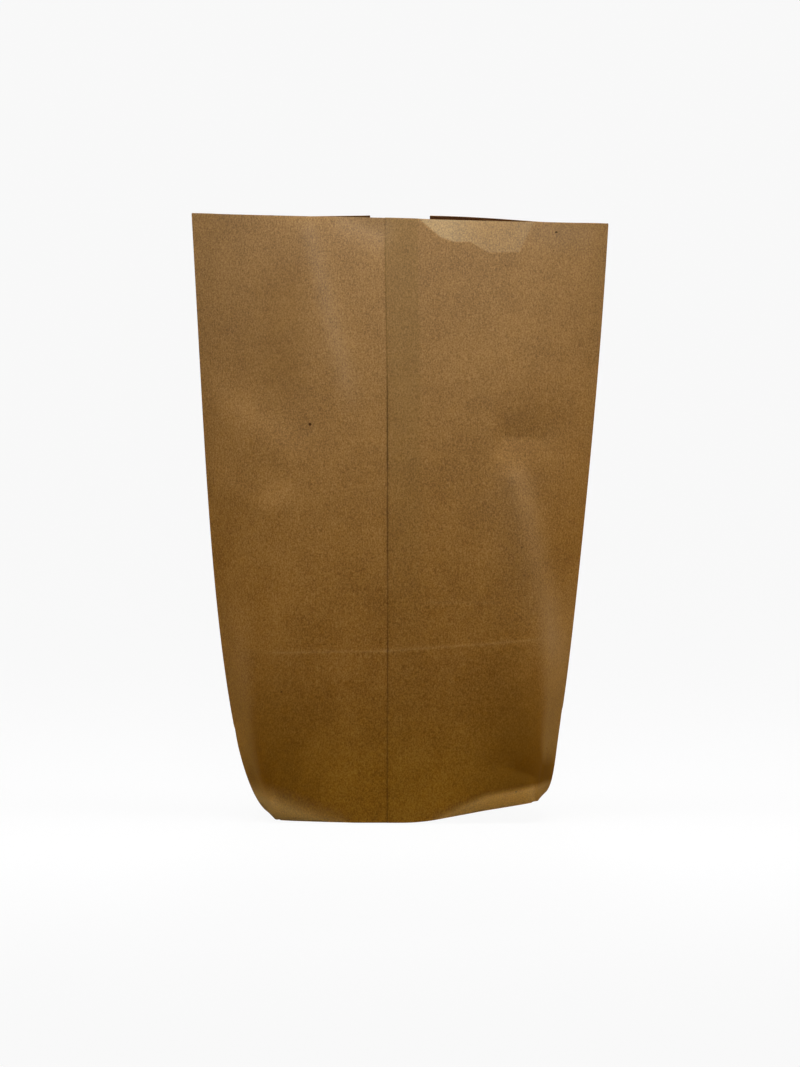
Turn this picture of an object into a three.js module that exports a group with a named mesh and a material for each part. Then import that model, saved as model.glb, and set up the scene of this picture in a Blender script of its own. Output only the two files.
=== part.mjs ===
// Open-mouth kraft paper sack: a tube of paper with one pasted long seam and a pasted cross bottom,
// opened by hand and standing empty. Millimetres, +Z up. The seam wall faces -Y, the wall with the
// thumb notch faces +Y, and the origin lies on the floor under the middle of the sack.

import * as THREE from 'three';
import { mergeVertices } from 'three/addons/utils/BufferGeometryUtils.js';

const { clamp, lerp, smoothstep } = THREE.MathUtils;

// Tube, mouth and bottom
const LAY_FLAT_WIDTH = 328; // tube pressed flat, from side crease to side crease
const BOTTOM_WIDTH = 130; // opened bottom, from the seam wall to the notched wall
const RIM_HEIGHT = 460; // rim above the floor at mid width
const RIM_FALL = 8; // the rim is this much lower at +X than at -X
const MOUTH_GAP = 45; // between the two walls at the rim
const PAPER = 0.3; // all plies of one wall together

// Long seam in the front wall, seen as one cut edge with the other edge under it
const SEAM_EDGE = -10; // cut edge of the upper sheet, from the middle of the wall
const SEAM_LAP = 28; // width over which the two sheets lie on each other

// Thumb notch in the rim of the back wall
const NOTCH_WIDTH = 46;
const NOTCH_DEPTH = 12;
const NOTCH_SQUARENESS = 4; // exponent of the notch's rounded outline

// Stance of the opened tube
const SIDE_BOW = 0.42; // exponent of the side creases' spread from bottom to rim
const PANEL_SPREAD = 15; // the flat panel is this much wider each side at half height
const CORNER_BEND = 12; // reach of the bend at the bottom corners
const MOUTH_BEND = 54; // reach of the same bend where it has softened
const BEND_SOFT_AT = 0.32; // share of the height by which it has
const BELLY_SHIFT = 2.6; // the sack bows over towards -X above its bottom
const BELLY_PEAK = 0.66; // exponent that puts the largest bow below half height

// Bottom: its +X end lifts off the floor, and its corners stand a little to +X of the tube
const LIFT = 15; // height of the bottom at its +X end
const LIFT_START = 28; // where the bottom leaves the floor, from its own middle
const LIFT_BEND = 12; // reach of the bend there
const LEFT_CORNER_SHIFT = 3; // of the two corners at -X
const RIGHT_CORNER_SHIFT = 7; // of the two corners at +X
const SHIFT_HEIGHT = 60; // height over which the walls lean to meet them
const FLAP_LAP = 15; // the outer bottom flap passes the middle by this much
const FLAP_EDGE_HALF = 34; // half length of that flap's free edge

// Strips beside the bottom corners where the walls turn under: the height of the crease above the
// fold at the corner, where along the wall it runs out, how steeply the paper turns and how softly
const TURN_UNDER = [
  { height: 20, runsOut: -42, slope: 0.65, bend: 6 },
  { height: 14, runsOut: 28, slope: 0.9, bend: 2 },
];
const TURN_UNDER_FADE = 0.1; // share of a strip's length over which it begins

// Dents that handling left in the front wall. Their ends are shares of the half width and of the
// height, push is how far they go into the sack, and reach is how wide they are to each side.
const DENTS = [
  { from: [0.463, 0.639], to: [0.707, 0.633], push: 4.2, reach: 18 },
  { from: [-0.89, 0.698], to: [-0.55, 0.589], push: -1.3, reach: 15 },
  { from: [-0.854, 0.633], to: [-0.59, 0.557], push: 1, reach: 14 },
];
const DENT_FADE = 12; // depth of the sack over which a dent dies out beside the side crease

// Piece of the front rim that leans into the mouth
const RIM_LEAN = 5.5;
const RIM_LEAN_MIDDLE = 58; // from the middle of the wall
const RIM_LEAN_HALF_WIDTH = 42;
const RIM_LEAN_DROP = 22;

// Mesh steps
const ROWS = 34;
const ROW_EASE = 0.05; // rows lie closer together near the bottom and the rim
const RINGS = 4;
const FRONT_STEPS = 8;
const SEAM_STEPS = 3;
const BACK_STEPS = 6;
const SIDE_STEPS = 6;

const halfTube = LAY_FLAT_WIDTH / 2;
const halfBottom = halfTube - BOTTOM_WIDTH / 2;
const mouthTurn = halfTube - halfBottom;
const mouthHalfWidth = halfBottom + Math.sqrt(mouthTurn ** 2 - (MOUTH_GAP / 2) ** 2);
const notchSteps = 2 * FRONT_STEPS + SEAM_STEPS - 2 * BACK_STEPS; // as many strands front and back
const FLAP_LAYERS = { front: 3, back: 2, left: 1, right: 1 };
const footHeight = FLAP_LAYERS.front * PAPER;

// Zero, then rising one for one, with the kink rounded over a reach to each side
function softRamp(distance, reach) {
  if (distance <= -reach) return 0;
  if (distance >= reach) return distance;
  return (distance + reach) ** 2 / (4 * reach);
}

function spaced(from, to, steps) {
  return Array.from({ length: steps + 1 }, (_, i) => lerp(from, to, i / steps));
}

// Level cut through the tube at a share of its height. The girth is the same at every height, so
// where the side creases come closer together the walls stand further apart.
function cutAt(rise) {
  const flat = halfBottom + PANEL_SPREAD * 4 * rise * (1 - rise);
  const turn = halfTube - flat;
  const halfWidth = lerp(halfBottom, mouthHalfWidth, rise ** SIDE_BOW);
  const cos = clamp((halfWidth - flat) / turn, 0, 1);
  const softness = smoothstep(rise, 0, BEND_SOFT_AT);
  const bend = Math.min(lerp(CORNER_BEND, MOUTH_BEND, softness), turn, flat);
  return { flat, turn, cos, sin: Math.sqrt(1 - cos ** 2), bend };
}

// Place on a cut, at a distance along the paper from the middle of the wall
function cutPoint(cut, along) {
  const past = softRamp(along - cut.flat, cut.bend);
  return { x: along - (1 - cut.cos) * past, depth: cut.sin * (cut.turn - past) };
}

// Height of the bottom at a distance along it from its own middle
function foldHeight(along) {
  const reached = clamp(along, -halfBottom, halfBottom) - LIFT_START;
  return footHeight + (LIFT / (halfBottom - LIFT_START)) * softRamp(reached, LIFT_BEND);
}

// How far a place along the bottom stands to +X of the tube
function cornerShift(along) {
  const reach = clamp(along / halfBottom, -1, 1);
  return Math.max(-reach * LEFT_CORNER_SHIFT, reach * RIGHT_CORNER_SHIFT);
}

// How far a wall turns under beside the bottom corners, at a height above the fold
function turnedUnder(along, height) {
  let depth = 0;
  for (const strip of TURN_UNDER) {
    const corner = Math.sign(strip.runsOut) * halfBottom;
    const share = clamp((along - strip.runsOut) / (corner - strip.runsOut), 0, 1);
    const begun = Math.min(1, share / TURN_UNDER_FADE);
    depth += strip.slope * begun * softRamp(share * strip.height - height, strip.bend);
  }
  return depth;
}

function notchDepth(station) {
  const share = Math.abs(station.along) / (NOTCH_WIDTH / 2);
  if (station.wall < 0 || share >= 1) return 0;
  return NOTCH_DEPTH * (1 - share ** NOTCH_SQUARENESS) ** (1 / NOTCH_SQUARENESS);
}

function onWall([widthShare, heightShare]) {
  return new THREE.Vector2(widthShare * halfTube, heightShare * RIM_HEIGHT);
}

function distanceToLine(place, from, to) {
  const run = to.clone().sub(from);
  const offset = place.clone().sub(from);
  const share = clamp(offset.dot(run) / run.lengthSq(), 0, 1);
  return offset.addScaledVector(run, -share).length();
}

// How far the front wall is pushed into the sack at a place on it
function frontPush(x, z, rim) {
  const place = new THREE.Vector2(x, z);
  let push = 0;
  for (const dent of DENTS) {
    const distance = distanceToLine(place, onWall(dent.from), onWall(dent.to));
    push += dent.push * Math.exp(-((distance / dent.reach) ** 2));
  }
  const across = Math.max(0, 1 - ((x - RIM_LEAN_MIDDLE) / RIM_LEAN_HALF_WIDTH) ** 2);
  const above = Math.max(0, 1 - (rim - z) / RIM_LEAN_DROP);
  return push + RIM_LEAN * across * above;
}

// Point on the inner face of a wall, at a share of the way from the bottom fold to the rim
function wallPoint(station, share) {
  const fold = foldHeight(station.along);
  const rim = RIM_HEIGHT - (RIM_FALL / 2) * (station.along / halfTube);
  const rise = share * (1 - notchDepth(station) / (rim - fold));
  const { x, depth } = cutPoint(cutAt(rise), Math.abs(station.along));
  const z = lerp(fold, rim, rise);

  const bow = BELLY_SHIFT * Math.sin(Math.PI * rise ** BELLY_PEAK) ** 2;
  const lean = cornerShift(station.along) * Math.max(0, 1 - (z - fold) / SHIFT_HEIGHT) ** 2;
  const placedX = Math.sign(station.along) * x + lean - bow;

  const turnedDepth = depth * (1 - turnedUnder(station.along, z - fold) / (BOTTOM_WIDTH / 2));
  const fade = clamp(depth / DENT_FADE, 0, 1);
  const push = station.wall < 0 ? frontPush(placedX, z, rim) * fade : 0;
  return new THREE.Vector3(placedX, station.wall * turnedDepth + push, z);
}

// Stations round the girth, anticlockwise from above. Corners come twice, because the bottom flaps
// beside them differ in layers, and the step at each edge of the seam is as wide as it is high.
function wallStations(panel, wall, distances, lapped) {
  return distances.map((along) => ({ panel, wall, along, lapped }));
}

function sideStations(panel, side) {
  const halfSide = BOTTOM_WIDTH / 2;
  return spaced(-halfSide, halfSide, 2 * SIDE_STEPS).map((u) => ({
    panel,
    wall: u * side < 0 ? -1 : 1,
    along: side * (halfBottom + halfSide - Math.abs(u)),
    lapped: false,
  }));
}

function girthStations() {
  const seamEnd = SEAM_EDGE + SEAM_LAP;
  const notchEdge = NOTCH_WIDTH / 2;
  const notch = spaced(0, Math.PI, notchSteps).map((angle) => notchEdge * Math.cos(angle));
  const front = [
    ...wallStations('front', -1, spaced(-halfBottom, SEAM_EDGE, FRONT_STEPS), false),
    ...wallStations('front', -1, spaced(SEAM_EDGE + PAPER, seamEnd - PAPER, SEAM_STEPS), true),
    ...wallStations('front', -1, spaced(seamEnd, halfBottom, FRONT_STEPS), false),
  ];
  const back = [
    ...wallStations('back', 1, spaced(halfBottom, notchEdge, BACK_STEPS), false),
    ...wallStations('back', 1, notch, false),
    ...wallStations('back', 1, spaced(-notchEdge, -halfBottom, BACK_STEPS), false),
  ];
  return { front, right: sideStations('right', 1), back, left: sideStations('left', -1) };
}

// One strand of paper: across the bottom from the outer flap's free edge to the fold, then up to
// the rim. Strands of the end flaps all start at an end of that edge, where the back flap's step
// runs out too.
function strand(station, i, panelStations) {
  const last = panelStations.length - 1;
  const share = { front: i / last, right: 1, back: 1 - i / last, left: 0 }[station.panel];
  const edge = lerp(-FLAP_EDGE_HALF, FLAP_EDGE_HALF, share);
  const corner = clamp(station.along, -halfBottom, halfBottom);
  const stepRunsOut = station.panel === 'back' && (i === 0 || i === last);
  const fold = wallPoint(station, 0);
  const points = [];
  for (let ring = 0; ring < RINGS; ring += 1) {
    const along = lerp(edge, corner, ring / RINGS);
    const across = lerp(FLAP_LAP, fold.y, ring / RINGS);
    const point = new THREE.Vector3(along + cornerShift(along), across, foldHeight(along));
    const flap = ring === 0 && stepRunsOut ? 'left' : station.panel;
    points.push({ point, layers: FLAP_LAYERS[flap] });
  }
  for (let row = 0; row <= ROWS; row += 1) {
    const even = row / ROWS;
    const rise = row === ROWS ? 1 : even - ROW_EASE * Math.sin(2 * Math.PI * even);
    points.push({ point: wallPoint(station, rise), layers: station.lapped ? 2 : 1 });
  }
  return points;
}

// Triangles of one face of the paper: the strands side by side, and the step at the flap's edge
function paperFaces(strandCount, strandLength, backStart, panelSteps) {
  const faces = [];
  const at = (column, k) => (column % strandCount) * strandLength + k;
  const quad = (a, b, c, d) => faces.push([a, b, c], [a, c, d]);
  for (let column = 0; column < strandCount; column += 1) {
    for (let k = 0; k + 1 < strandLength; k += 1) {
      quad(at(column, k), at(column + 1, k), at(column + 1, k + 1), at(column, k + 1));
    }
  }
  for (let i = 0; i < panelSteps; i += 1) {
    const mate = backStart + panelSteps - i;
    quad(at(i + 1, 0), at(i, 0), at(mate, 0), at(mate - 1, 0));
  }
  return faces;
}

// Indexed geometry with coincident points made one and faces without area left out
function weld(points, faces) {
  const raw = new THREE.BufferGeometry().setFromPoints(points);
  raw.setIndex(faces.flat());
  const welded = mergeVertices(raw, PAPER / 100);
  const index = Array.from(welded.index.array);
  const kept = [];
  for (let i = 0; i < index.length; i += 3) {
    const [a, b, c] = index.slice(i, i + 3);
    if (a !== b && b !== c && c !== a) kept.push(a, b, c);
  }
  welded.setIndex(kept);
  welded.computeVertexNormals();
  return { geometry: welded, index };
}

// Outward direction of the paper at each point, shared by points in one place
function outwardNormals(points, faces) {
  const { geometry, index } = weld(points, faces);
  const normals = [];
  faces.flat().forEach((raw, i) => {
    normals[raw] = new THREE.Vector3().fromBufferAttribute(geometry.attributes.normal, index[i]);
  });
  return normals;
}

function sackGeometry() {
  const { front, right, back, left } = girthStations();
  const strands = [front, right, back, left].flatMap((panel) => panel.map(strand));
  const strandLength = RINGS + ROWS + 1;
  const faces = paperFaces(strands.length, strandLength, front.length + right.length, front.length - 1);
  const layout = strands.flat();
  const inside = layout.map(({ point }) => point);
  const normals = outwardNormals(inside, faces);
  const outside = layout.map(({ point, layers }, i) => (
    point.clone().addScaledVector(normals[i], layers * PAPER)
  ));

  const count = inside.length;
  const shell = faces.flatMap(([a, b, c]) => [[a, b, c], [count + a, count + c, count + b]]);
  strands.forEach((_, column) => {
    const here = column * strandLength + strandLength - 1;
    const next = ((column + 1) % strands.length) * strandLength + strandLength - 1;
    shell.push([here, next, count + next], [here, count + next, count + here]);
  });
  return weld([...outside, ...inside], shell).geometry;
}

const kraft = new THREE.MeshStandardMaterial({ color: '#96714a', roughness: 0.85, metalness: 0 });
const sackMesh = new THREE.Mesh(sackGeometry(), kraft);
sackMesh.name = 'paper_sack';

const sack = new THREE.Group();
sack.add(sackMesh);

export default sack;
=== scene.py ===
"""Looks of an open-mouth kraft paper sack that stands empty, opened by hand.

The paper starts as a flat blank and is folded by a Geometry Nodes tree, which follows one rule: the
girth is the same at every height. Metres, +Z up. The seam wall faces -Y, the notched wall +Y.
"""

import math
from typing import NamedTuple

import bpy
import numpy as np
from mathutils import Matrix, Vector


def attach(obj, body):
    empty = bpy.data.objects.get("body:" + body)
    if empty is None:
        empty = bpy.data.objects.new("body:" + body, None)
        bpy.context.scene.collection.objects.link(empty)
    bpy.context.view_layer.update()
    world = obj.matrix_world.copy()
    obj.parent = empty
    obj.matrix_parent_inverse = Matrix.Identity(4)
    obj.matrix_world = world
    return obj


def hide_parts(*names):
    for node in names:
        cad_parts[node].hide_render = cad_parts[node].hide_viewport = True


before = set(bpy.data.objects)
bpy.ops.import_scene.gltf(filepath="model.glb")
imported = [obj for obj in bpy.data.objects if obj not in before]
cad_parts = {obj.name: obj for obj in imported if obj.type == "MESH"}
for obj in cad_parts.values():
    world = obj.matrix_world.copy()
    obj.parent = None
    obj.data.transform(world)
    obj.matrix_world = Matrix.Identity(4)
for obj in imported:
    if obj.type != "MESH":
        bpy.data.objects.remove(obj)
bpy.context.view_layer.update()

MM = 0.001

# Sizes of the sack, which become the named inputs of its folding tree
SIZES = {
    "Lay-flat width": 328 * MM,
    "Bottom width": 130 * MM,
    "Rim height": 460.8 * MM,
    "Rim fall": 8 * MM,
    "Rim crown": 1.2 * MM,
    "Mouth gap": 45 * MM,
    "Paper": 0.3 * MM,
    "Notch width": 46 * MM,
    "Notch depth": 12 * MM,
    "Back rim dip": 3.1 * MM,
    "Back rim rise": 0.4 * MM,
    "Panel spread": 15 * MM,
    "Corner bend": 12 * MM,
    "Mouth bend": 54 * MM,
    "Belly shift": 2.6 * MM,
    "Left corner shift": 3 * MM,
    "Right corner shift": 7 * MM,
    "Shift height": 60 * MM,
    "Lift": 15 * MM,
    "Lift start": 14 * MM,
    "Lift bend": 14 * MM,
    "Left lift": 0.6 * MM,
    "Left lift start": 45 * MM,
    "Flap lap": 15 * MM,
    "Flap edge half": 34 * MM,
    "Ripple": 0.4 * MM,
}
HALF_TUBE = SIZES["Lay-flat width"] / 2
HALF_BOTTOM = HALF_TUBE - SIZES["Bottom width"] / 2
PAPER = SIZES["Paper"]
RIM_HEIGHT = SIZES["Rim height"]

# Exponents and shares of the height in the folding rule
SIDE_BOW = 0.42  # below 1, the sides spread early on their way up
BELLY_PEAK = 0.66  # below 1, the sideways bow is fullest below the middle
BEND_SOFTENS = (0.08, 0.4)  # from the tight bends at the bottom corners to the wide ones at the mouth
NOTCH_SQUARENESS = 4

# Long seam of the front wall, by distance from the middle of the wall
SEAM_EDGE = -10 * MM
SEAM_END = 18 * MM
SEAM_RUN_OUT = 6 * MM  # over the hidden edge, the upper sheet comes down to the wall this gently
SEAM_STRAIGHTENED = 1.2  # how much of the sideways bow the seam makes up for
SEAM_TOP_LEAN = 1.5 * MM  # it leans a little near the rim
SEAM_TOP = (0.72, 0.96)  # shares of the height between which it comes to lean

# Layers of paper in the bottom flaps: the front flap lies on the back flap, which lies on the ends
FLAP_LAYERS = {"front": 3, "back": 2, "left": 1, "right": 1}
FOOT = FLAP_LAYERS["front"] * PAPER

# Strips beside the bottom corners where the walls turn under, and have painted light on them
LEFT_TURN_UNDER = {
    "height": 21 * MM,  # of the crease above the fold
    "runs_out": -38 * MM,  # where along the wall the crease comes down to the fold
    "full_at": 1.0,  # share of the way from there to the corner at which it is at full height
    "slope": 0.65,  # how steeply the paper turns
    "bend": (11 * MM, 9 * MM),  # how round the crease is at the corner and where it runs out
    "painted_light_depth": 5 * MM,  # depth of the turn at which the paper has its full painted light
    "pale": (1.65, 1.65),  # how much light is painted along the strip and past the corner
}
RIGHT_TURN_UNDER = {
    "height": 13 * MM,
    "runs_out": 20 * MM,
    "full_at": 0.55,
    "slope": 0.9,
    "bend": (2 * MM, 5 * MM),
    "painted_light_depth": 2.5 * MM,
    "pale": (1.25, 0.65),
}
TURN_UNDER_FADE = 0.1  # share of the way to the corner over which the turn comes in
PAST_CORNER = (0.98, 1.08)  # shares of that way between which the painted light changes at the corner

# Upright edges above the bottom corners, which have painted light, too
ARRIS_PAINTED_LIGHT = {"left": 0.32, "right": 0.5}
ARRIS_PAINTED_LIGHT_ACROSS = (HALF_BOTTOM + 12 * MM, HALF_BOTTOM + 34 * MM)
ARRIS_PAINTED_LIGHT_FOOT = (8 * MM, 45 * MM)
ARRIS_PAINTED_LIGHT_TOP = (90 * MM, 200 * MM)

# Piece of the front rim that leans into the mouth: lines of its hinge, in millimetres, each a place
# and a slope. The hinge is the highest of the lines, and a step that is the lower of two more.
RIM_HINGE = [((19, 457.5), -0.85), ((37, 445.2), -0.35), ((70, 435.5), 0.0), ((92, 437), 2.0)]
RIM_HINGE_STEP = [((46, 443.7), 0.0), ((54, 443.7), -0.6)]
RIM_HINGE_BEND = 0.7 * MM
RIM_LEAN_SLOPE = 0.27
RIM_LEAN_LOST = 0.52  # share of the slope that is lost towards its right end
RIM_LEAN_FADE = (30 * MM, 70 * MM)  # where along the rim that happens
RIM_LEAN_SINK = 0.12  # how far it sinks for each length that it leans
RIM_PAINTED_LIGHT_EDGE = 1.2 * MM  # how sharply the painted light begins at the hinge
RIM_PAINTED_LIGHT_LOST = 0.55  # share of the painted light that is lost towards its right end

# Back rim: where it stands highest, and how far off it has dipped
BACK_RIM_STANDS = 30 * MM
BACK_RIM_DIPPED = 135 * MM


class Crease(NamedTuple):
    """A crease or dent that handling left, in millimetres on the wall as it stands.

    Left and right are meant along the line from its start to its end, seen from the front.
    """

    start: tuple  # place across and up
    end: tuple
    reach: tuple  # how far it is felt to the left and right of its line
    fade: tuple  # how far it goes on past its start and its end
    soft: float  # 1 is a sharp line and 2 a round one
    push: float = 0.0  # how far it goes into the sack
    pale: float = 0.0  # painted light, or below zero painted shade
    rubbed: float = 0.0  # how pale a fine line it leaves on the paper


FRONT_CREASES = [
    # Dent near the right edge
    Crease((78, 295), (109, 292), push=3.8, reach=(24, 14), fade=(4, 9), soft=1.2),
    Crease((112, 303), (142, 299), push=1.6, reach=(18, 45), fade=(14, 12), soft=1.7),
    # Long ridge and valley below the dent, and the painted light on them
    Crease((89, 262), (111, 132), push=-4.4, reach=(14, 10), fade=(10, 24), soft=1.5),
    Crease((103, 262), (128, 140), push=4.2, reach=(9, 12), fade=(12, 20), soft=1.5),
    Crease((94, 262), (116, 140), pale=0.25, reach=(9, 12), fade=(10, 22), soft=1.8),
    Crease((80, 238), (94, 172), pale=0.1, reach=(28, 24), fade=(24, 24), soft=2.0),
    # Waves near the left edge
    Crease((-154, 325), (-92, 281), push=-1.2, reach=(17, 17), fade=(14, 20), soft=1.7),
    Crease((-150, 344), (-82, 302), push=0.9, reach=(30, 11), fade=(14, 20), soft=1.8),
    Crease((-148, 260), (-106, 242), push=-1.7, reach=(10, 17), fade=(14, 16), soft=1.7),
    Crease((-98, 244), (-128, 156), push=-1.8, reach=(14, 9), fade=(12, 20), soft=1.6),
    Crease((-112, 244), (-144, 160), push=1.8, reach=(9, 10), fade=(12, 20), soft=1.6),
    # Below the rim, with painted light on three creases and painted shade on one patch
    Crease((-70, 452), (-42, 340), push=-0.8, pale=0.22, reach=(8, 8), fade=(8, 20), soft=1.8),
    Crease((-44, 462), (-14, 450), push=1.6, pale=0.25, reach=(14, 12), fade=(8, 6), soft=1.5),
    Crease((-86, 350), (-86, 405), pale=-0.27, reach=(34, 16), fade=(26, 26), soft=2.0),
    Crease((112, 452), (140, 450), pale=0.18, reach=(10, 14), fade=(16, 12), soft=2.0),
    # Fine creases of storage
    Crease((-88, 129.7), (-11, 130.9), push=-0.2, rubbed=0.34, reach=(1.2, 1.2), fade=(12, 3), soft=1.3),
    Crease((-11, 130.9), (96, 138.6), push=-0.2, rubbed=0.34, reach=(1.2, 1.2), fade=(3, 12), soft=1.3),
    Crease((26, 168), (69, 168), push=-0.12, rubbed=0.17, reach=(1.6, 1.4), fade=(6, 6), soft=1.4),
    # Ridge and hollow at the right bottom corner, with painted light on the ridge and painted shade in
    # the hollow
    Crease((50, 13), (113, 30), push=-0.3, pale=0.3, reach=(2.5, 3), fade=(12, 3), soft=1.4),
    Crease((94, 38), (118, 30), push=1.6, pale=-0.5, reach=(9, 3), fade=(14, 4), soft=1.3),
]
BACK_CREASES = [
    Crease((-98, 66), (98, 66), push=0.9, reach=(3, 3), fade=(10, 10), soft=1.3),
    Crease((-120, 330), (-60, 262), push=2.0, reach=(20, 14), fade=(14, 20), soft=1.6),
    Crease((70, 372), (128, 350), push=1.8, reach=(18, 14), fade=(16, 14), soft=1.6),
    Crease((52, 214), (104, 190), push=-1.4, reach=(16, 12), fade=(18, 14), soft=1.7),
]
CREASE_FADE = 12 * MM  # depth of the sack over which they die out beside a side crease
FOLD_FADE = 6 * MM  # height over which they die out above the bottom fold

# Creases that rise from each bottom corner to the side crease
SIDE_CREASE = 0.8 * MM
SIDE_CREASE_REACH = 2.5 * MM
SIDE_CREASE_ENDS = (0.9, 1.1)  # shares of the height at which the two meet

# Faint waves all over the paper
RIPPLE_SCALE = 14.0  # waves per metre, roughly
RIPPLE_DETAIL = 2.0
NOISE_MIDDLE = 0.5

# Rows of the blank: how far apart they lie, and how far between some shares of the height
ROW_STEP = 3.8 * MM
FINE_ROWS = [
    (0.0, 0.08, 1.5 * MM),
    (0.262, 0.318, 0.9 * MM),
    (0.6, 0.68, 1.8 * MM),
    (0.93, 1.0, 1.1 * MM),
]
ROW_SAMPLES = 4001
RINGS = 14
FRONT_STEP = 2.7 * MM
BACK_STEPS = 22
SIDE_STEPS = 16
WELD = 0.06 * MM
SHARP_ANGLE = 35.0


def linear(red, green, blue):
    """A colour given as screen values from 0 to 255, in the linear values that sockets take."""
    shares = [value / 255 for value in (red, green, blue)]
    return (*[s / 12.92 if s <= 0.04045 else ((s + 0.055) / 1.055) ** 2.4 for s in shares], 1.0)


# Colours of the paper, of painted shade, and of the painted shadow at the seam's cut edge
KRAFT_DARK = linear(119, 81, 32)
KRAFT = linear(150, 108, 49)
KRAFT_PALE = linear(174, 130, 70)
TONE_STOPS = [(0.15, KRAFT_DARK), (0.5, KRAFT), (0.85, KRAFT_PALE)]
BARK = linear(58, 38, 20)
PASTED = linear(120, 98, 54)
PAINTED_SHADE = linear(106, 70, 8)
CUT_EDGE_SHADOW = linear(42, 27, 12)

# What is added to the colour of the paper: painted light on strips and patches, rubbing along the
# creases of storage, painted light on the leaning piece of the rim, and painted light towards the rim
PAINTED_LIGHT = (0.12, 0.12, 0.1, 1.0)
RUBBED_LINE = (0.15, 0.11, 0.06, 1.0)
RIM_PAINTED_LIGHT = (0.044, 0.058, 0.04, 1.0)
PAINTED_TOP_LIGHT = (0.15, 0.17, 0.16, 1.0)
PAINTED_TOP_LIGHT_MOST = 0.3
PAINTED_TOP_LIGHT_HEIGHT = (0.2, 1.05)

# Painted shade on the inner face, and painted warm shade at the foot, which is less blue there
INNER_PAINTED_SHADE = (0.34, 0.22, 0.16, 1.0)
INNER_PAINTED_SHADE_LAYERS = (0.1, 0.6)
FOOT_WARM_SHADE = (1.0, 1.0, 0.35, 1.0)
FOOT_WARM_SHADE_MOST = 0.75
FOOT_WARM_SHADE_HEIGHT = (15 * MM, 125 * MM)

# Patterns in the paper: stretch, waves per metre and detail. Fibres lie mostly up the tube, which is
# the way the paper ran through its machine.
EVEN = (1.0, 1.0, 1.0)
FIBRE_STRETCH = (1.0, 1.0, 0.8)
STRAND_STRETCH = (1.0, 1.0, 0.2)
PATTERNS = {
    "mottle": (FIBRE_STRETCH, 950.0, 3.0),
    "fine": (FIBRE_STRETCH, 2200.0, 2.0),
    "strand": (STRAND_STRETCH, 1300.0, 2.0),
    "formation": (EVEN, 60.0, 3.0),
    "blotch": (EVEN, 16.0, 2.0),
}
TONE_WEIGHTS = {"mottle": 1.5, "fine": 0.7, "strand": 0.5, "formation": 0.3, "blotch": 0.45}
RELIEF_WEIGHTS = {"mottle": 0.5, "fine": 0.3, "strand": 0.4}
FIBRE_HEIGHT = 0.15 * MM
FIBRE_BUMP = 0.35
ROUGHNESS = 0.62
ROUGHNESS_SWING = 0.2
GLOSS = 0.06

# Bark flecks: fine ones in some cells of a pattern, and large ones on the front wall, in millimetres,
# each a place (across, up) and its half width and half height
FLECK_SCALE = 130.0
FLECK_CHANCE = (0.62, 0.72)
FLECK_RADIUS = (0.03, 0.09)
FINE_FLECK_DARK = 0.6
BARK_FLECKS = [
    ((-69, 304.6), (1.3, 1.2)),
    ((120, 451), (1.2, 0.8)),
    ((-91, 100), (0.9, 0.7)),
    ((89, 24), (0.9, 0.7)),
]
FLECK_EDGE = (0.4, 1.2)
FLECK_DARK = 0.9

# Paste under the seam's lap, which shows more towards the rim
PASTE_SHOWS = 0.24
PASTE_LEAST = 0.25
PASTE_RISE = (0.3, 0.8)
PASTE_FADE = 5 * MM

# Painted shadow along the cut edge of the seam's upper sheet, a patchy dark line that is fainter near
# the rim
CUT_EDGE_WIDTH = 0.42 * MM
CUT_EDGE_LOST = 0.6
CUT_EDGE_FAINT = (0.66, 0.78)
CUT_EDGE_LEAST = 0.5
CUT_EDGE_PATCHES = (0.35, 0.65)

# Painted shade at the foot: how high, where across the panel it comes and goes, and how much
FOOT_SHADE_HEIGHT = (22 * MM, 190 * MM)
FOOT_SHADE_REACH = (25 * MM, 108 * MM)
FOOT_SHADE_ENDS = (112 * MM, 124 * MM)
FOOT_SHADE_MIDDLE = 0.2
FOOT_SHADE_LEFT = 0.62
FOOT_SHADE_RIGHT = 0.82
FOOT_SHADE_CHANGES = (-25 * MM, 25 * MM)

# Stage
WHITE = (1.0, 1.0, 1.0, 1.0)
FLOOR_SEEN = (0.9, 0.9, 0.9, 1.0)
FLOOR_BOUNCE = (0.72, 0.57, 0.25, 1.0)
FLOOR_GLOW = 0.94
FLOOR_REACH = 20.0
FLOOR_GAP = 0.2 * MM  # keeps the floor off the face that stands on it
AMBIENT = 0.02

# Softboxes: name, place, aim, size, watts, colour of the light and spread in degrees
DAYLIGHT = (0.97, 1.0, 1.08)
LAMPLIGHT = (1.0, 0.9, 0.7)
WIDE = 180
SOFTBOXES = [
    ("overhead", (0, 0.3, 1.5), (0, 0.3, 0), (1.2, 0.8), 4.0, DAYLIGHT, WIDE),
    ("key", (0, -0.12, 0.95), (0, -0.05, 0), (0.7, 0.2), 5.7, DAYLIGHT, WIDE),
    ("front", (0.03, -1.6, 1.3), (0.03, 0, 0.32), (1.4, 0.2), 0.43, DAYLIGHT, 17),
    ("back", (0, 1.6, 1.3), (0, 0, 0.3), (1.4, 0.2), 1.0, DAYLIGHT, 17),
    ("floor_wash", (0, -0.22, 1.3), (0, -0.22, 0), (0.9, 0.1), 0.15, LAMPLIGHT, 25),
    ("left", (-1.3, -0.1, 0.6), (0, 0, 0.2), (0.6, 0.8), 2.2, LAMPLIGHT, WIDE),
    ("right", (1.3, -0.1, 0.6), (0, 0, 0.2), (0.6, 0.8), 3.9, LAMPLIGHT, WIDE),
]

# The photograph: its height in pixels, its scale at the sack, and where it was taken from
PHOTO_HEIGHT = 1067
METRES_PER_PIXEL = 0.767 * MM
CAMERA_DISTANCE = 10.0
CAMERA_ELEVATION = 4.2
CAMERA_AIM = (0.0, -0.04, 0.221)
CAMERA_SEES = 100.0


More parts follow.
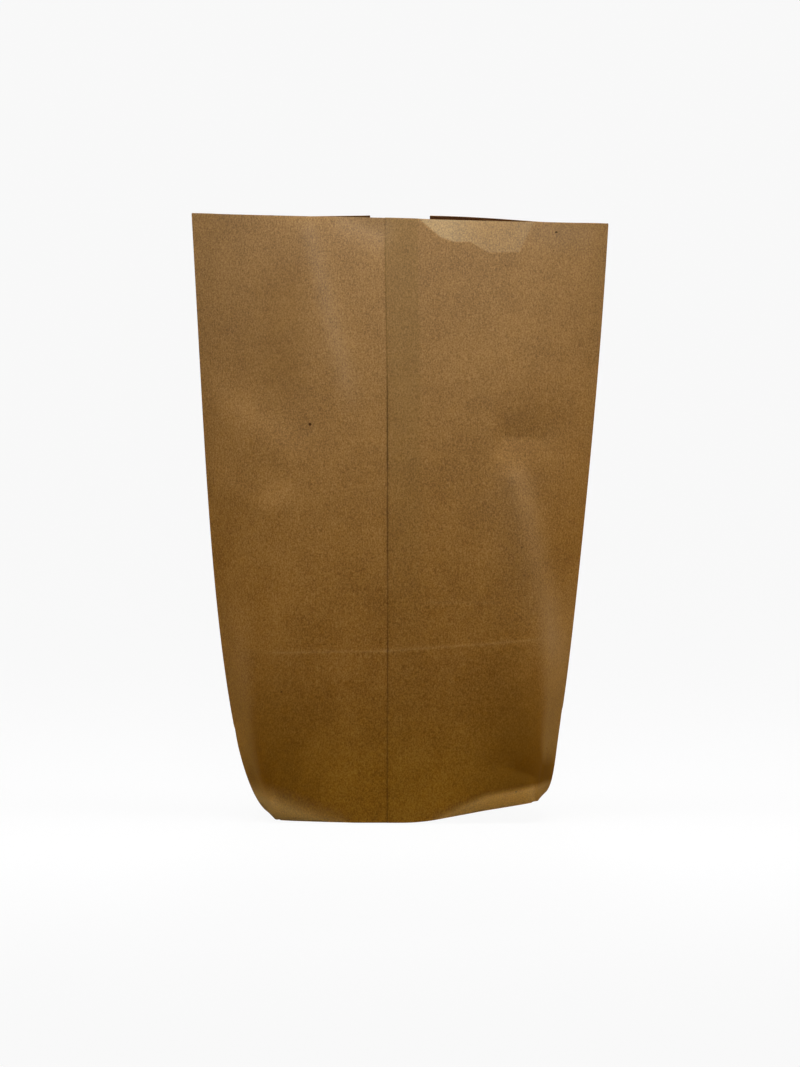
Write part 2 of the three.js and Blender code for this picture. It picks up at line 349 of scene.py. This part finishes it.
class Value:
    """A socket of a node tree. Sums on it add Math nodes, and node() adds any other node."""

    def __init__(self, tree, socket):
        self.tree = tree
        self.socket = socket

    def node(self, kind, settings=None, inputs=None, output=0):
        """Adds a node: its settings first, then the values or links of its sockets."""
        added = self.tree.nodes.new(kind)
        for name, setting in (settings or {}).items():
            if name == "stops":
                set_stops(added.color_ramp, setting)
            else:
                setattr(added, name, setting)
        for key, value in (inputs or {}).items():
            if isinstance(value, Value):
                self.tree.links.new(value.socket, added.inputs[key])
            else:
                added.inputs[key].default_value = value
        return Value(self.tree, added.outputs[output])

    def math(self, operation, *values):
        return self.node("ShaderNodeMath", {"operation": operation}, dict(enumerate(values)))

    def __add__(self, other):
        return self.math("ADD", self, other)

    __radd__ = __add__

    def __mul__(self, other):
        return self.math("MULTIPLY", self, other)

    __rmul__ = __mul__

    def __sub__(self, other):
        return self.math("SUBTRACT", self, other)

    def __rsub__(self, other):
        return self.math("SUBTRACT", other, self)

    def __truediv__(self, other):
        return self.math("DIVIDE", self, other)

    def __rtruediv__(self, other):
        return self.math("DIVIDE", other, self)

    def __pow__(self, exponent):
        return self.math("POWER", self, exponent)

    def __neg__(self):
        return self.math("MULTIPLY", self, -1.0)

    def __abs__(self):
        return self.math("ABSOLUTE", self)

    def exp(self):
        return self.math("EXPONENT", self)

    def sine(self):
        return self.math("SINE", self)

    def sign(self):
        return self.math("SIGN", self)

    def above(self, floor):
        return self.math("MAXIMUM", self, floor)

    def below(self, ceiling):
        return self.math("MINIMUM", self, ceiling)

    def smooth(self, start, end):
        """Zero before start, one after end, and a smooth step between."""
        return self.node(
            "ShaderNodeMapRange",
            {"interpolation_type": "SMOOTHSTEP"},
            {"Value": self, "From Min": start, "From Max": end},
        )


def set_stops(ramp, stops):
    """Gives a colour ramp its stops, each a place and a colour."""
    while len(ramp.elements) < len(stops):
        ramp.elements.new(1.0)
    for element, (place, colour) in zip(ramp.elements, stops):
        element.position = place
        element.color = colour


def soft_ramp(distance, reach):
    """Zero, then rising one for one, with the kink rounded over a reach to each side."""
    rounded = (distance + reach).above(0.0).below(2 * reach)
    return rounded * rounded / (4 * reach) + (distance - reach).above(0.0)


def noise(place, scale, detail):
    """A cloudy pattern of values around the middle."""
    return place.node("ShaderNodeTexNoise", inputs={"Vector": place, "Scale": scale, "Detail": detail})


def spaced(start, end, step):
    """Even places from start to end, about a step apart."""
    return np.linspace(start, end, max(2, round(abs(end - start) / step) + 1))


def row_shares():
    """Shares of the height for the rows, closer together where FINE_ROWS says."""
    even = np.linspace(0.0, 1.0, ROW_SAMPLES)
    density = np.full_like(even, RIM_HEIGHT / ROW_STEP)
    for start, end, step in FINE_ROWS:
        density[(even >= start) & (even <= end)] = RIM_HEIGHT / step
    counted = np.concatenate([[0.0], np.cumsum((density[1:] + density[:-1]) / 2 * np.diff(even))])
    return np.interp(np.linspace(0.0, counted[-1], round(counted[-1]) + 1), counted, even)


def girth_columns():
    """Columns round the girth, anticlockwise from above, as (panel, wall, along, layers, edge share).

    The front and back have as many columns, because they meet one to one at the outer flap's edge.
    """
    lapped = spaced(SEAM_EDGE + PAPER, SEAM_END, FRONT_STEP)
    front = [(a, 1) for a in spaced(-HALF_BOTTOM, SEAM_EDGE, FRONT_STEP)]
    front += [(a, 1 + min(1, (SEAM_END - a) / SEAM_RUN_OUT)) for a in lapped]
    front += [(a, 1) for a in spaced(SEAM_END, HALF_BOTTOM, FRONT_STEP)[1:]]
    last = len(front) - 1

    notch_half = SIZES["Notch width"] / 2
    notch = notch_half * np.cos(np.linspace(0.0, math.pi, last - 2 * BACK_STEPS + 1))
    back = list(np.linspace(HALF_BOTTOM, notch_half, BACK_STEPS, endpoint=False))
    back += list(notch)
    back += list(np.linspace(-HALF_BOTTOM, -notch_half, BACK_STEPS, endpoint=False)[::-1])

    half_side = SIZES["Bottom width"] / 2
    around = np.linspace(-half_side, half_side, 2 * SIDE_STEPS + 1)
    columns = [("front", -1, a, layers, i / last) for i, (a, layers) in enumerate(front)]
    columns += [("right", -1 if u < 0 else 1, HALF_TUBE - abs(u), 1, 1.0) for u in around]
    columns += [("back", 1, a, 1, 1 - i / last) for i, a in enumerate(back)]
    columns += [("left", 1 if u < 0 else -1, abs(u) - HALF_TUBE, 1, 0.0) for u in around]
    return columns


def sack_blank():
    """The flat blank: both faces of the paper as strands side by side, joined along the rim.

    Each strand runs from the free edge of the outer bottom flap across the bottom to the fold and up
    to the rim. The numbers that the folding tree needs are attributes of the points.
    """
    columns = girth_columns()
    shares = row_shares()
    length = RINGS + len(shares)
    across_bottom = np.linspace(0.0, 1.0, RINGS, endpoint=False)
    strands = {name: [] for name in ("along", "wall", "share", "ring", "on_wall", "edge", "layers")}
    for i, (panel, wall, along, layers, edge) in enumerate(columns):
        ends_panel = columns[i - 1][0] != panel or columns[(i + 1) % len(columns)][0] != panel
        bottom_layers = np.full(RINGS, FLAP_LAYERS[panel])
        if panel == "back" and ends_panel:
            bottom_layers[0] = FLAP_LAYERS["left"]
        strands["along"].append(np.full(length, along))
        strands["wall"].append(np.full(length, wall))
        strands["share"].append(np.concatenate([np.zeros(RINGS), shares]))
        strands["ring"].append(np.concatenate([across_bottom, np.ones(len(shares))]))
        strands["on_wall"].append(np.concatenate([np.zeros(RINGS), np.ones(len(shares))]))
        strands["edge"].append(np.full(length, edge))
        strands["layers"].append(np.concatenate([bottom_layers, np.full(len(shares), layers)]))

    def at(column, k):
        return (column % len(columns)) * length + k

    count = len(columns) * length
    panels = [column[0] for column in columns]
    sheet = [
        (at(c, k), at(c + 1, k), at(c + 1, k + 1), at(c, k + 1))
        for c in range(len(columns))
        for k in range(length - 1)
    ]
    flap_steps = panels.count("front") - 1
    back_end = panels.index("back") + flap_steps
    for i in range(flap_steps):
        sheet.append((at(i + 1, 0), at(i, 0), at(back_end - i, 0), at(back_end - i - 1, 0)))
    inner = [tuple(count + corner for corner in reversed(face)) for face in sheet]
    top = length - 1
    rim = [
        (at(c, top), at(c + 1, top), count + at(c + 1, top), count + at(c, top))
        for c in range(len(columns))
    ]

    mesh = bpy.data.meshes.new("sack_blank")
    mesh.from_pydata(np.zeros((2 * count, 3)).tolist(), [], sheet + inner + rim)
    for name, values in strands.items():
        outer = np.concatenate(values)
        both = np.concatenate([outer, np.zeros(count) if name == "layers" else outer])
        mesh.attributes.new(name, "FLOAT", "POINT").data.foreach_set("value", both.astype(np.float32))
    return bpy.data.objects.new("sack_blank", mesh)


def crease_share(x, z, crease):
    """How much of one crease is felt at a place across and up the wall, from 0 to 1."""
    (x0, z0), (x1, z1) = [(a * MM, b * MM) for a, b in (crease.start, crease.end)]
    length = math.hypot(x1 - x0, z1 - z0)
    run_x, run_z = (x1 - x0) / length, (z1 - z0) / length
    along = (x - x0) * run_x + (z - z0) * run_z
    across = (z - z0) * run_x - (x - x0) * run_z
    left, right = crease.reach
    before, after = crease.fade
    aside = (across / (left * MM)).above(across / (-right * MM))
    past = (along / (-before * MM)).above((along - length) / (after * MM)).above(0.0)
    away = (aside * aside + past * past) ** (crease.soft / 2)
    return (-away).exp()


def past_rim_hinge(x, z):
    """How far above the hinge of the leaning piece of the rim a place on the front wall is."""
    level, falling = [z0 * MM + (x - x0 * MM) * slope for (x0, z0), slope in RIM_HINGE_STEP]
    hinge = level.below(falling)
    for (x0, z0), slope in RIM_HINGE:
        hinge = hinge.above(z0 * MM + (x - x0 * MM) * slope)
    return z - hinge


def turned_under(along, height, strip):
    """How far a wall turns under beside one bottom corner, and how much light is painted there."""
    corner = math.copysign(HALF_BOTTOM, strip["runs_out"])
    reached = ((along - strip["runs_out"]) / (corner - strip["runs_out"])).above(0.0)
    share = reached.below(1.0)
    fades_in = (share / TURN_UNDER_FADE).below(1.0)
    rise = (share / strip["full_at"]).below(1.0)
    at_corner, at_end = strip["bend"]
    bend = at_end + (at_corner - at_end) * share
    depth = strip["slope"] * fades_in * soft_ramp(rise * strip["height"] - height, bend)
    along_painted_light, corner_painted_light = strip["pale"]
    pale = along_painted_light + (corner_painted_light - along_painted_light) * reached.smooth(*PAST_CORNER)
    return depth, (depth / strip["painted_light_depth"]).below(1.0) * pale


def arris_painted_light(along, height):
    """How much light is painted on the upright edges above the bottom corners."""
    side = along.sign()
    most = ARRIS_PAINTED_LIGHT["right"] * side.above(0.0) + ARRIS_PAINTED_LIGHT["left"] * (-side).above(0.0)
    across = abs(along).smooth(*ARRIS_PAINTED_LIGHT_ACROSS)
    return most * across * height.smooth(*ARRIS_PAINTED_LIGHT_FOOT) * (1 - height.smooth(*ARRIS_PAINTED_LIGHT_TOP))


def named_inputs(tree):
    """The tree's inputs: the blank, the named sizes, and the identifiers that set these."""
    tree.interface.new_socket("Blank", in_out="INPUT", socket_type="NodeSocketGeometry")
    identifiers = {}
    for name in SIZES:
        socket = tree.interface.new_socket(name, in_out="INPUT", socket_type="NodeSocketFloat")
        identifiers[name] = socket.identifier
    given = tree.nodes.new("NodeGroupInput")
    size = {name: Value(tree, given.outputs[name]) for name in SIZES}
    return Value(tree, given.outputs["Blank"]), size, identifiers


def stood_off(sheet, on_wall, thickness):
    """The sheet with its outer face set off by its layers of paper, straight down on the bottom."""
    normal = sheet.node("GeometryNodeInputNormal")
    outward = sheet.node(
        "ShaderNodeMix",
        {"data_type": "VECTOR"},
        {"Factor": on_wall, 4: (0.0, 0.0, -1.0), 5: normal},
        output=1,
    )
    offset = sheet.node("ShaderNodeVectorMath", {"operation": "SCALE"}, {0: outward, "Scale": thickness})
    return sheet.node("GeometryNodeSetPosition", inputs={"Geometry": sheet, "Offset": offset})


def shaded(walls):
    """The walls welded, smooth over their curves and sharp at their edges and folds."""
    welded = walls.node("GeometryNodeMergeByDistance", inputs={"Geometry": walls, "Distance": WELD})
    smooth = walls.node("GeometryNodeSetShadeSmooth", inputs={"Geometry": welded, "Shade Smooth": True})
    angle = walls.node("GeometryNodeInputMeshEdgeAngle")
    sharp = angle.math("GREATER_THAN", angle, math.radians(SHARP_ANGLE))
    return walls.node(
        "GeometryNodeSetShadeSmooth",
        {"domain": "EDGE"},
        {"Geometry": smooth, "Selection": sharp, "Shade Smooth": False},
    )


def fold_tree(material):
    """The tree that folds the blank into the standing sack, and the identifiers of its sizes."""
    tree = bpy.data.node_groups.new("fold_sack", "GeometryNodeTree")
    blank, size, identifiers = named_inputs(tree)
    tree.interface.new_socket("Sack", in_out="OUTPUT", socket_type="NodeSocketGeometry")

    def attribute(name):
        return blank.node("GeometryNodeInputNamedAttribute", {"data_type": "FLOAT"}, {"Name": name})

    column, wall, share = attribute("along"), attribute("wall"), attribute("share")
    ring, on_wall, edge = attribute("ring"), attribute("on_wall"), attribute("edge")
    half_tube = size["Lay-flat width"] / 2
    half_side = size["Bottom width"] / 2
    half_bottom = half_tube - half_side
    mouth_half = half_bottom + (half_side * half_side - (size["Mouth gap"] / 2) ** 2) ** 0.5
    front = (-wall).above(0.0)
    back = wall.above(0.0)

    def bottom_height(reach):
        right = soft_ramp(reach - size["Lift start"], size["Lift bend"])
        left = soft_ramp(-reach - size["Left lift start"], size["Lift bend"])
        right_slope = size["Lift"] / (half_bottom - size["Lift start"])
        left_slope = size["Left lift"] / (half_bottom - size["Left lift start"])
        return FOOT + right_slope * right + left_slope * left

    def corner_shift(reach):
        left = size["Left corner shift"] * (-reach).above(0.0)
        return (left + size["Right corner shift"] * reach.above(0.0)) / half_bottom

    def bowed(rise):
        return size["Belly shift"] * (rise**BELLY_PEAK * math.pi).sine() ** 2

    # Strands of the seam wall, which lie straighter than the sack stands
    off_middle = column / half_bottom
    straightened = SEAM_STRAIGHTENED * bowed(share) - SEAM_TOP_LEAN * share.smooth(*SEAM_TOP)
    along = column + straightened * (1 - off_middle * off_middle).above(0.0) * front

    # Height of the point, with the notch taken out of the back wall's rim
    reach = along.below(half_bottom).above(-half_bottom)
    fold = bottom_height(reach)
    dipped = abs(along - BACK_RIM_STANDS).smooth(0.0, BACK_RIM_DIPPED)
    dip = (size["Back rim dip"] * dipped - size["Back rim rise"]) * back
    dip = dip * (1 - abs(along).smooth(half_bottom, half_tube))
    across = along / half_tube
    crown = size["Rim crown"] * (1 - across * across)
    rim = size["Rim height"] - size["Rim fall"] / 2 * across + crown - dip
    notch_share = (abs(along) / (size["Notch width"] / 2)).below(1.0)
    notch_outline = (1 - notch_share**NOTCH_SQUARENESS) ** (1 / NOTCH_SQUARENESS)
    notch = size["Notch depth"] * back * notch_outline
    rise = share * (1 - notch / (rim - fold))
    height = (rim - fold) * rise
    z = fold + height

    # Level cut through the tube: a flat panel, a bend and a slanted run, of the same girth everywhere
    flat = half_bottom + size["Panel spread"] * 4 * rise * (1 - rise)
    turn = half_tube - flat
    half_width = half_bottom + (mouth_half - half_bottom) * rise**SIDE_BOW
    cosine = ((half_width - flat) / turn).above(0.0).below(1.0)
    sine = (1 - cosine * cosine) ** 0.5
    softness = rise.smooth(*BEND_SOFTENS)
    bend = size["Corner bend"] + (size["Mouth bend"] - size["Corner bend"]) * softness
    past = soft_ramp(abs(along) - flat, bend.below(turn).below(flat))
    depth = sine * (turn - past)

    # Stance: the tube bows over, and leans to meet the corners of its bottom
    lean = corner_shift(reach) * (1 - height / size["Shift height"]).above(0.0) ** 2
    triangle = (abs(along) - half_bottom - height) / (math.sqrt(2) * SIDE_CREASE_REACH)
    ends_from, ends_at = SIDE_CREASE_ENDS
    below_apex = 1 - height.smooth(half_side * ends_from, half_side * ends_at)
    triangle_push = SIDE_CREASE * below_apex * (-abs(triangle)).exp()
    off_centre = abs(along) - (1 - cosine) * past - triangle_push * on_wall
    x = along.sign() * off_centre + lean - bowed(rise)

    # Walls: turned under beside the corners, leaning at the rim, creased, and faintly rippled
    left_under, left_painted_light = turned_under(along, height, LEFT_TURN_UNDER)
    right_under, right_painted_light = turned_under(along, height, RIGHT_TURN_UNDER)
    rolled = depth * (1 - (left_under + right_under) / half_side)
    lean_slope = RIM_LEAN_SLOPE * (1 - RIM_LEAN_LOST * x.smooth(*RIM_LEAN_FADE))
    rim_push = lean_slope * soft_ramp(past_rim_hinge(x, z), RIM_HINGE_BEND)
    sunk = rim_push * front * RIM_LEAN_SINK
    front_felt = [(crease, crease_share(x, z, crease)) for crease in FRONT_CREASES]
    back_felt = [(crease, crease_share(x, z, crease)) for crease in BACK_CREASES]
    front_push = rim_push + sum(felt * (crease.push * MM) for crease, felt in front_felt)
    back_push = sum(felt * (crease.push * MM) for crease, felt in back_felt)
    place = blank.node("ShaderNodeCombineXYZ", inputs={0: x, 1: wall, 2: z})
    ripple = noise(place, RIPPLE_SCALE, RIPPLE_DETAIL)
    push = front_push * front + back_push * back + (ripple - NOISE_MIDDLE) * (2 * size["Ripple"])
    push = push * (depth / CREASE_FADE).below(1.0) * (height / FOLD_FADE).below(1.0)
    y = wall * (rolled - push)
    # Painted light on the turned-under strips, the upright edges and the creases, and painted shade
    # where a crease's value is below zero
    pale = left_painted_light + right_painted_light + arris_painted_light(along, height)
    pale = pale + front * sum(felt * crease.pale for crease, felt in front_felt)

    # Bottom flaps: from the outer flap's free edge to the fold
    edge_reach = (edge * 2 - 1) * size["Flap edge half"]
    bottom_reach = edge_reach + (reach - edge_reach) * ring
    bottom_x = bottom_reach + corner_shift(bottom_reach)
    bottom_y = size["Flap lap"] + (y - size["Flap lap"]) * ring
    bottom_z = bottom_height(bottom_reach)
    final_x = bottom_x + (x - bottom_x) * on_wall
    final_z = bottom_z + (z - sunk - bottom_z) * on_wall
    folded = blank.node("ShaderNodeCombineXYZ", inputs={0: final_x, 1: bottom_y, 2: final_z})
    sheet = blank.node("GeometryNodeSetPosition", inputs={"Geometry": blank, "Position": folded})

    walls = shaded(stood_off(sheet, on_wall, attribute("layers") * size["Paper"]))
    realized = blank.node("GeometryNodeRealizeInstances", inputs={"Geometry": walls})
    # The painted light and shade go to the paper's colour as a point attribute
    marked = blank.node(
        "GeometryNodeStoreNamedAttribute",
        {"data_type": "FLOAT", "domain": "POINT"},
        {"Geometry": realized, "Name": "pale", "Value": pale * on_wall},
    )
    painted = blank.node("GeometryNodeSetMaterial", inputs={"Geometry": marked, "Material": material})
    result = tree.nodes.new("NodeGroupOutput")
    tree.links.new(painted.socket, result.inputs["Sack"])
    return tree, identifiers


def folded_sack(material):
    """The folded sack as a plain mesh."""
    blank = sack_blank()
    bpy.context.collection.objects.link(blank)
    tree, identifiers = fold_tree(material)
    fold = blank.modifiers.new("fold", "NODES")
    fold.node_group = tree
    for name, value in SIZES.items():
        fold[identifiers[name]] = value
    evaluated = blank.evaluated_get(bpy.context.evaluated_depsgraph_get())
    mesh = bpy.data.meshes.new_from_object(evaluated)
    mesh.name = "kraft_sack"
    blank.modifiers.remove(fold)
    bpy.data.objects.remove(blank)
    sack = bpy.data.objects.new("kraft_sack", mesh)
    bpy.context.collection.objects.link(sack)
    return sack


def blend(factor, under, over, mode="MIX"):
    """Colour that goes from under to over with a factor. What is added may be more than whole."""
    settings = {"data_type": "RGBA", "blend_type": mode, "clamp_factor": mode == "MIX"}
    return factor.node("ShaderNodeMix", settings, {"Factor": factor, 6: under, 7: over}, output=2)


def stretched(place, stretch):
    return place.node("ShaderNodeMapping", inputs={"Vector": place, "Scale": stretch})


def flecked(colour, place, x, z, front):
    """Flecks of bark: fine ones scattered, and a few large ones by place."""
    cells = {"Vector": stretched(place, FIBRE_STRETCH), "Scale": FLECK_SCALE}
    distance = place.node("ShaderNodeTexVoronoi", inputs=cells)
    chance = place.node("ShaderNodeTexVoronoi", inputs=cells, output="Color")
    flecks = (1 - distance.smooth(*FLECK_RADIUS)) * chance.smooth(*FLECK_CHANCE) * FINE_FLECK_DARK
    for (fleck_x, fleck_z), (half_width, half_height) in BARK_FLECKS:
        across = (x - fleck_x * MM) / (half_width * MM)
        up = (z - fleck_z * MM) / (half_height * MM)
        flecks = flecks.above((1 - (across * across + up * up).smooth(*FLECK_EDGE)) * front)
    return blend(flecks * FLECK_DARK, colour, BARK)


def pasted(colour, along, share, front):
    """The paste under the seam's lap darkens it."""
    from_edge = along.smooth(SEAM_EDGE, SEAM_EDGE + PAPER)
    lap = from_edge * (1 - along.smooth(SEAM_END - PASTE_FADE, SEAM_END)) * front
    paste = lap * (PASTE_LEAST + (1 - PASTE_LEAST) * share.smooth(*PASTE_RISE))
    return blend(paste * PASTE_SHOWS, colour, PASTED)


def foot_painted_shade(colour, x, z, pale):
    """Painted shade at the foot, most towards the panel's ends and none where light is painted, and
    painted warm shade towards the foot.
    """
    low = 1 - z.smooth(*FOOT_SHADE_HEIGHT)
    at_ends = abs(x).smooth(*FOOT_SHADE_REACH) * (1 - abs(x).smooth(*FOOT_SHADE_ENDS))
    most = FOOT_SHADE_LEFT + (FOOT_SHADE_RIGHT - FOOT_SHADE_LEFT) * x.smooth(*FOOT_SHADE_CHANGES)
    not_painted_light = 1 - pale.above(0.0).below(1.0)
    foot_shade = low * (FOOT_SHADE_MIDDLE + (1 - FOOT_SHADE_MIDDLE) * at_ends) * not_painted_light * most
    colour = blend(foot_shade, colour, PAINTED_SHADE)
    # Painted warm shade, less blue towards the foot
    return blend((1 - z.smooth(*FOOT_WARM_SHADE_HEIGHT)) * FOOT_WARM_SHADE_MOST, colour, FOOT_WARM_SHADE, "MULTIPLY")


def rubbed(colour, x, z, front, pale):
    """Paler paper: painted light on the leaning piece of the rim, on strips and patches, the rubbed fine
    creases of storage, and painted shade.
    """
    # Painted light on the leaning piece of the rim
    on_piece = past_rim_hinge(x, z).smooth(0.0, RIM_PAINTED_LIGHT_EDGE) * front
    colour = blend(on_piece * (1 - RIM_PAINTED_LIGHT_LOST * x.smooth(*RIM_LEAN_FADE)), colour, RIM_PAINTED_LIGHT, "ADD")
    # Painted light on the turned-under strips, the upright edges and patches
    colour = blend(pale.above(0.0), colour, PAINTED_LIGHT, "ADD")
    for crease in FRONT_CREASES:
        if crease.rubbed:
            line = crease_share(x, z, crease) * front * crease.rubbed
            colour = blend(line, colour, RUBBED_LINE, "ADD")
    # Painted shade where the value is below zero
    return blend((-pale).above(0.0), colour, PAINTED_SHADE)


def cut_edge_shadowed(colour, along, share, front, blotch):
    """A thin dark line of painted shadow along the cut edge of the seam's upper sheet."""
    line = (-abs(along - SEAM_EDGE) / CUT_EDGE_WIDTH).exp() * front
    fainter = 1 - CUT_EDGE_LOST * share.smooth(*CUT_EDGE_FAINT)
    patchy = CUT_EDGE_LEAST + (1 - CUT_EDGE_LEAST) * blotch.smooth(*CUT_EDGE_PATCHES)
    return blend(line * fainter * patchy, colour, CUT_EDGE_SHADOW)


def kraft_paper():
    """Uncoated brown kraft with mottled fibres, the marks of its making and its use, and painted light
    and shade.
    """
    material = bpy.data.materials.new("kraft_paper")
    material.use_nodes = True
    tree = material.node_tree
    shader = tree.nodes["Principled BSDF"]
    place = Value(tree, tree.nodes.new("ShaderNodeTexCoord").outputs["Object"])

    def attribute(name):
        return place.node("ShaderNodeAttribute", {"attribute_name": name}, output="Fac")

    x = place.node("ShaderNodeSeparateXYZ", inputs={0: place}, output="X")
    z = place.node("ShaderNodeSeparateXYZ", inputs={0: place}, output="Z")
    along, share, pale = attribute("along"), attribute("share"), attribute("pale")
    front = (-attribute("wall")).above(0.0)
    # Painted shade on the inner face, where it has no layers
    inner = 1 - attribute("layers").smooth(*INNER_PAINTED_SHADE_LAYERS)

    patterns = {
        name: noise(stretched(place, stretch), scale, detail)
        for name, (stretch, scale, detail) in PATTERNS.items()
    }
    swings = [(patterns[name] - NOISE_MIDDLE) * weight for name, weight in TONE_WEIGHTS.items()]
    tone = NOISE_MIDDLE + sum(swings)
    colour = tone.node("ShaderNodeValToRGB", {"stops": TONE_STOPS}, {"Fac": tone})
    # Painted light towards the rim
    colour = blend(share.smooth(*PAINTED_TOP_LIGHT_HEIGHT) * PAINTED_TOP_LIGHT_MOST, colour, PAINTED_TOP_LIGHT, "ADD")
    colour = flecked(colour, place, x, z, front)
    colour = pasted(colour, along, share, front)
    # Painted shade and painted warm shade at the foot
    colour = foot_painted_shade(colour, x, z, pale)
    # Painted light and shade, and the rubbed creases of storage
    colour = rubbed(colour, x, z, front, pale)
    # Painted shade on the inner face
    colour = blend(inner, colour, INNER_PAINTED_SHADE, "MULTIPLY")
    # Painted shadow along the seam's cut edge
    colour = cut_edge_shadowed(colour, along, share, front, patterns["blotch"])

    relief = sum(patterns[name] * weight for name, weight in RELIEF_WEIGHTS.items())
    fibres = {"Strength": FIBRE_BUMP, "Distance": FIBRE_HEIGHT, "Height": relief}
    bump = place.node("ShaderNodeBump", inputs=fibres)
    tree.links.new(colour.socket, shader.inputs["Base Color"])
    tree.links.new((ROUGHNESS + ROUGHNESS_SWING * tone).socket, shader.inputs["Roughness"])
    tree.links.new(bump.socket, shader.inputs["Normal"])
    shader.inputs["Specular IOR Level"].default_value = GLOSS
    return material


def seen_directly(tree):
    """One for rays straight from the camera, which show it a white background."""
    return Value(tree, tree.nodes.new("ShaderNodeLightPath").outputs["Is Camera Ray"])


def pale_floor():
    """A plain floor that reads white and keeps the sack's shadow."""
    corners = [(-1, -1), (1, -1), (1, 1), (-1, 1)]
    places = [(across * FLOOR_REACH, deep * FLOOR_REACH, -FLOOR_GAP) for across, deep in corners]
    mesh = bpy.data.meshes.new("floor")
    mesh.from_pydata(places, [], [(0, 1, 2, 3)])
    material = bpy.data.materials.new("pale_floor")
    material.use_nodes = True
    tree = material.node_tree
    tree.nodes.remove(tree.nodes["Principled BSDF"])
    seen = seen_directly(tree)
    matt = seen.node("ShaderNodeBsdfDiffuse", inputs={"Color": blend(seen, FLOOR_BOUNCE, FLOOR_SEEN)})
    glow = seen.node("ShaderNodeEmission", inputs={"Color": WHITE})
    surface = seen.node("ShaderNodeMixShader", inputs={0: seen * FLOOR_GLOW, 1: matt, 2: glow})
    tree.links.new(surface.socket, tree.nodes["Material Output"].inputs["Surface"])
    mesh.materials.append(material)
    floor = bpy.data.objects.new("floor", mesh)
    bpy.context.collection.objects.link(floor)
    return floor


def white_world():
    """White where the camera sees it, and a soft even light on the sack."""
    world = bpy.data.worlds.new("studio")
    world.use_nodes = True
    tree = world.node_tree
    background = tree.nodes["Background"]
    strength = AMBIENT + (1 - AMBIENT) * seen_directly(tree)
    tree.links.new(strength.socket, background.inputs["Strength"])
    background.inputs["Color"].default_value = WHITE
    bpy.context.scene.world = world


def aimed(obj, place, aim):
    """Puts a lamp or camera at a place, looking at a point."""
    obj.location = place
    obj.rotation_euler = (Vector(aim) - Vector(place)).to_track_quat("-Z", "Y").to_euler()
    bpy.context.collection.objects.link(obj)


def softbox(name, place, aim, size, watts, colour, spread):
    """A flat lamp, aimed from its place."""
    lamp = bpy.data.lights.new(name, "AREA")
    lamp.shape = "RECTANGLE"
    lamp.size, lamp.size_y = size
    lamp.energy = watts
    lamp.color = colour
    lamp.spread = math.radians(spread)
    aimed(bpy.data.objects.new(name, lamp), place, aim)


def photo_camera():
    """The photograph's view: level but for a few degrees, from far off."""
    camera = bpy.data.cameras.new("camera")
    camera.sensor_fit = "VERTICAL"
    camera.lens = CAMERA_DISTANCE * camera.sensor_height / (PHOTO_HEIGHT * METRES_PER_PIXEL)
    camera.clip_end = CAMERA_SEES
    tilt = math.radians(CAMERA_ELEVATION)
    place = Vector(CAMERA_AIM) + CAMERA_DISTANCE * Vector((0.0, -math.cos(tilt), math.sin(tilt)))
    obj = bpy.data.objects.new("camera", camera)
    aimed(obj, place, CAMERA_AIM)
    bpy.context.scene.camera = obj


bpy.context.scene.view_settings.view_transform = "Standard"
photo_camera()
white_world()
pale_floor()
for box in SOFTBOXES:
    softbox(*box)

sack = folded_sack(kraft_paper())
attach(sack, "root")
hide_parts("paper_sack")
